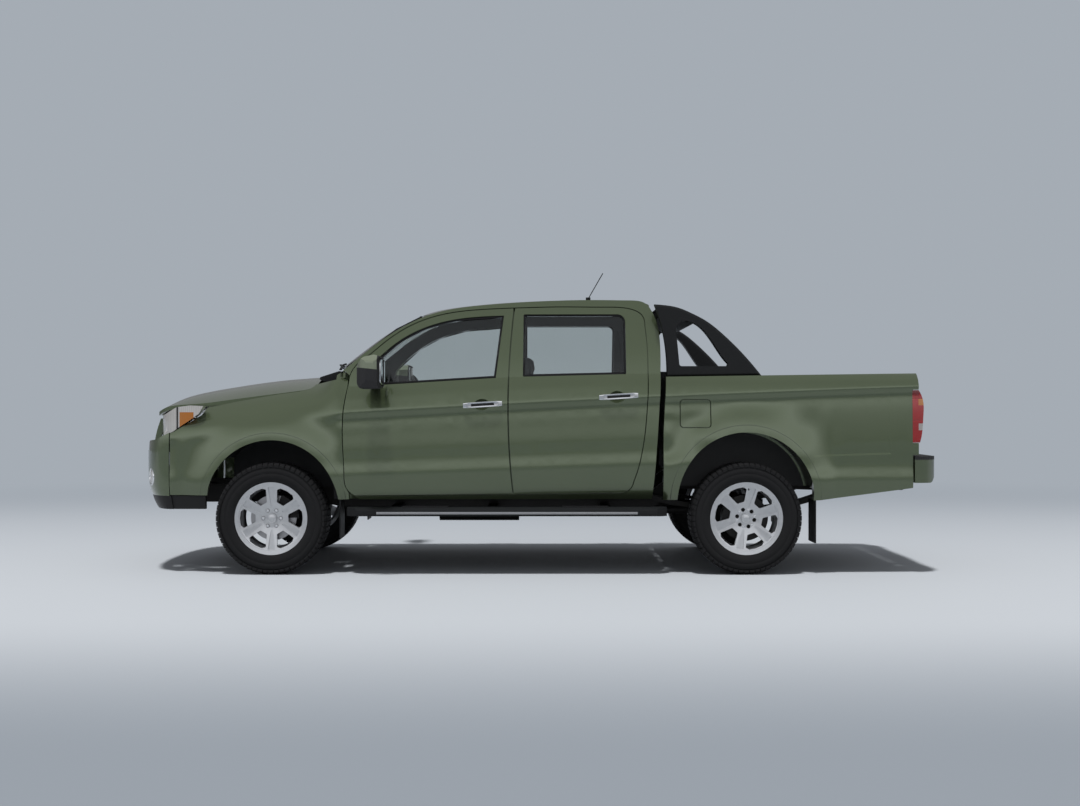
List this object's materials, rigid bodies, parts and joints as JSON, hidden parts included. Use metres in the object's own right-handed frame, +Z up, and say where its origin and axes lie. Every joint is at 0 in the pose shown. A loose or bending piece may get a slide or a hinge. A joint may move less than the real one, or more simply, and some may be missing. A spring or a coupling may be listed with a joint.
{
  "type": "pickup truck",
  "caption": "Double-cab pickup truck with an open load bed, styling hoop, side steps and alloy wheels; doors, hood, tailgate, fuel flap, steering and wheels move.",
  "frame": {"origin": "on the ground, under the middle of the truck in length and width", "axes": "X from the nose to the tail, Y across from the left side to the right, Z up"},
  "size_m": [5.2906, 2.224, 1.9995],
  "materials": {
    "black_plastic": "black grained plastic",
    "bed_paint": "sage green paint, satin",
    "body_paint": "metallic sage green paint",
    "brake_steel": "turned steel",
    "cast_iron": "black painted cast iron",
    "floor_paint": "dark painted steel",
    "chassis_steel": "black chassis paint",
    "trim_plastic": "dark grained interior plastic",
    "exhaust_steel": "dull steel",
    "glass": "lightly tinted glass",
    "seat_cloth": "dark grey woven cloth",
    "lamp_glass": "clear lamp cover",
    "rubber": "black rubber",
    "bumper_plastic": "dark plastic and paint",
    "wheel_silver": "bright silver lacquer on cast aluminium",
    "lamp_red": "red lamp cover",
    "tyre": "black tyre rubber"
  },
  "bodies": {
    "truck": {"aerial": "black_plastic", "arch_liners": "black_plastic", "bed_floor": "bed_paint", "bed_side_left": "body_paint", "bed_side_right": "body_paint", "cab_back": "body_paint", "cab_floor": "floor_paint", "cab_side_left": "body_paint", "cab_side_right": "body_paint", "chassis": "chassis_steel", "cowl": "black_plastic", "dashboard": "trim_plastic", "drivetrain": "cast_iron", "exhaust": "exhaust_steel", "front_bumper": "body_paint", "front_seats": "seat_cloth", "fuel_tank": "black_plastic", "grille": "black_plastic", "headlamps": "lamp_glass", "mud_flaps": "rubber", "rear_axle": "cast_iron", "rear_bumper": "bumper_plastic", "rear_seat": "seat_cloth", "rear_window": "glass", "roof": "body_paint", "side_steps": "black_plastic", "sports_bar": "black_plastic", "steering_wheel": "trim_plastic", "suspension": "cast_iron", "tail_lamps": "lamp_red", "windscreen": "glass", "wing_left": "body_paint", "wing_right": "body_paint"},
    "wheel_front_left": {"tyre_front_left": "tyre", "rim_front_left": "wheel_silver", "brake_disc_left": "brake_steel"},
    "wheel_rear_left": {"tyre_rear_left": "tyre", "rim_rear_left": "wheel_silver", "brake_drum_left": "cast_iron"},
    "steering_left": {"knuckle_left": "cast_iron"},
    "front_door_body_left": {"front_door_left": "body_paint", "front_door_glass_left": "glass", "mirror_left": "black_plastic"},
    "rear_door_body_left": {"rear_door_left": "body_paint", "rear_door_glass_left": "glass"},
    "wheel_front_right": {"tyre_front_right": "tyre", "rim_front_right": "wheel_silver", "brake_disc_right": "brake_steel"},
    "wheel_rear_right": {"tyre_rear_right": "tyre", "rim_rear_right": "wheel_silver", "brake_drum_right": "cast_iron"},
    "steering_right": {"knuckle_right": "cast_iron"},
    "front_door_body_right": {"front_door_right": "body_paint", "front_door_glass_right": "glass", "mirror_right": "black_plastic"},
    "rear_door_body_right": {"rear_door_right": "body_paint", "rear_door_glass_right": "glass"},
    "hood_body": {"hood": "body_paint"},
    "tailgate_body": {"tailgate": "body_paint"},
    "fuel_flap_body": {"fuel_flap": "body_paint"}
  },
  "joints": [
    {"name": "steer_left", "type": "hinge", "parent": "truck", "child": "steering_left", "pos_m": [-1.7, -0.725, 0.364], "axis": [0, 0, 1], "range_deg": [-32, 32]},
    {"name": "spin_front_left", "type": "hinge", "parent": "steering_left", "child": "wheel_front_left", "pos_m": [-1.7, -0.765, 0.364], "axis": [0, 1, 0], "continuous": true},
    {"name": "spin_rear_left", "type": "hinge", "parent": "truck", "child": "wheel_rear_left", "pos_m": [1.385, -0.765, 0.364], "axis": [0, 1, 0], "continuous": true},
    {"name": "front_door_left_hinge", "type": "hinge", "parent": "truck", "child": "front_door_body_left", "pos_m": [-1.238, -0.8605, 0.9], "axis": [0, 0, -1], "range_deg": [0, 68]},
    {"name": "rear_door_left_hinge", "type": "hinge", "parent": "truck", "child": "rear_door_body_left", "pos_m": [-0.1495, -0.8605, 0.9], "axis": [0, 0, -1], "range_deg": [0, 68]},
    {"name": "steer_right", "type": "hinge", "parent": "truck", "child": "steering_right", "pos_m": [-1.7, 0.725, 0.364], "axis": [0, 0, 1], "range_deg": [-32, 32]},
    {"name": "spin_front_right", "type": "hinge", "parent": "steering_right", "child": "wheel_front_right", "pos_m": [-1.7, 0.765, 0.364], "axis": [0, 1, 0], "continuous": true},
    {"name": "spin_rear_right", "type": "hinge", "parent": "truck", "child": "wheel_rear_right", "pos_m": [1.385, 0.765, 0.364], "axis": [0, 1, 0], "continuous": true},
    {"name": "front_door_right_hinge", "type": "hinge", "parent": "truck", "child": "front_door_body_right", "pos_m": [-1.238, 0.8605, 0.9], "axis": [0, 0, 1], "range_deg": [0, 68]},
    {"name": "rear_door_right_hinge", "type": "hinge", "parent": "truck", "child": "rear_door_body_right", "pos_m": [-0.1495, 0.8605, 0.9], "axis": [0, 0, 1], "range_deg": [0, 68]},
    {"name": "hood_hinge", "type": "hinge", "parent": "truck", "child": "hood_body", "pos_m": [-1.4365, 0, 1.3035], "axis": [0, 1, 0], "range_deg": [0, 50]},
    {"name": "tailgate_hinge", "type": "hinge", "parent": "truck", "child": "tailgate_body", "pos_m": [2.5155, 0, 0.8055], "axis": [0, 1, 0], "range_deg": [0, 90]},
    {"name": "fuel_flap_hinge", "type": "hinge", "parent": "truck", "child": "fuel_flap_body", "pos_m": [0.9585, -0.8512, 1.045], "axis": [0, 0, -1], "range_deg": [0, 85]}
  ],
  "couplings": [
    {"joint": "steer_right", "follows": "steer_left", "ratio": 1}
  ]
}
